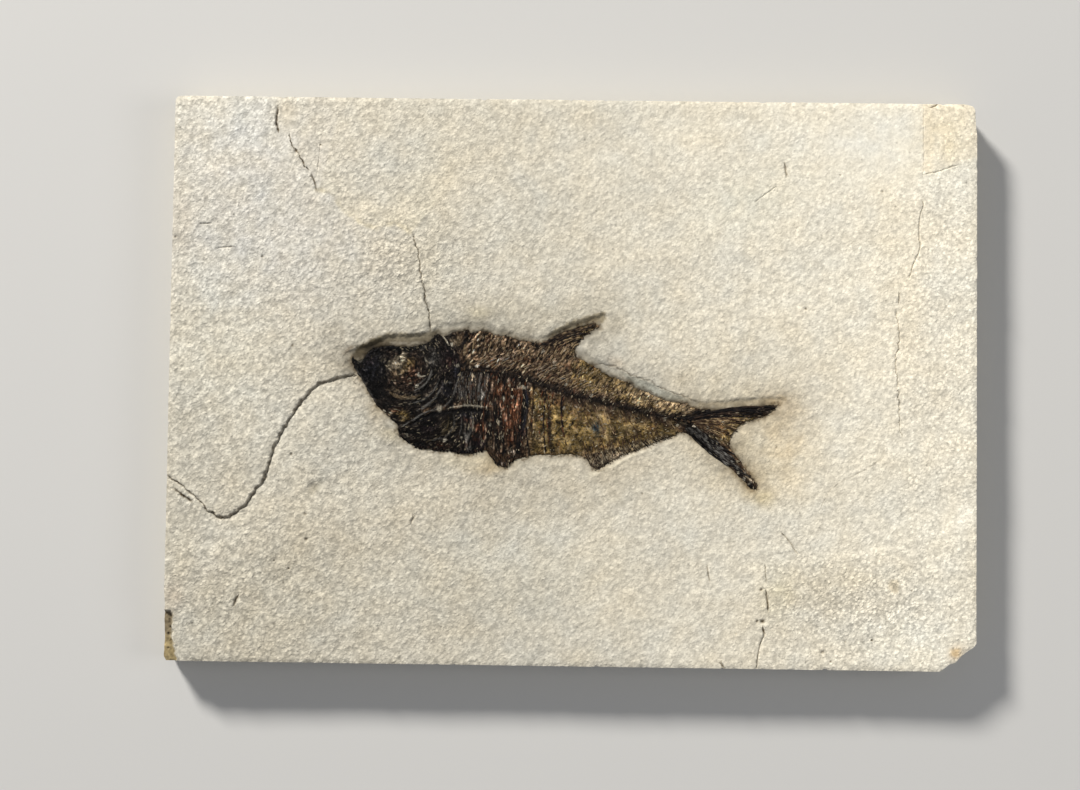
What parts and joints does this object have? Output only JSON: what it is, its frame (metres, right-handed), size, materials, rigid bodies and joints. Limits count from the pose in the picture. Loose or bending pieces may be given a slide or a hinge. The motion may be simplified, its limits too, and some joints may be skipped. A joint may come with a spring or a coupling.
{
  "type": "fossil fish slab",
  "caption": "Flat sawn limestone slab with a flattened fish skeleton in low relief on its upper face, lying on its flat back.",
  "frame": {"origin": "middle of the flat underside of the slab", "axes": "+X along the slab from the fish's head end to its tail end, +Y from its belly to its back, +Z out of the face that carries the fish"},
  "size_m": [0.311, 0.2186, 0.0158],
  "materials": {
    "limestone": "matt, pitted by the preparation tool, cream",
    "fossil_bone": "satin dark brown to black bone with golden brown flanks"
  },
  "bodies": {
    "root": {"limestone_slab": "limestone", "fossil_fish": "fossil_bone"}
  },
  "joints": []
}
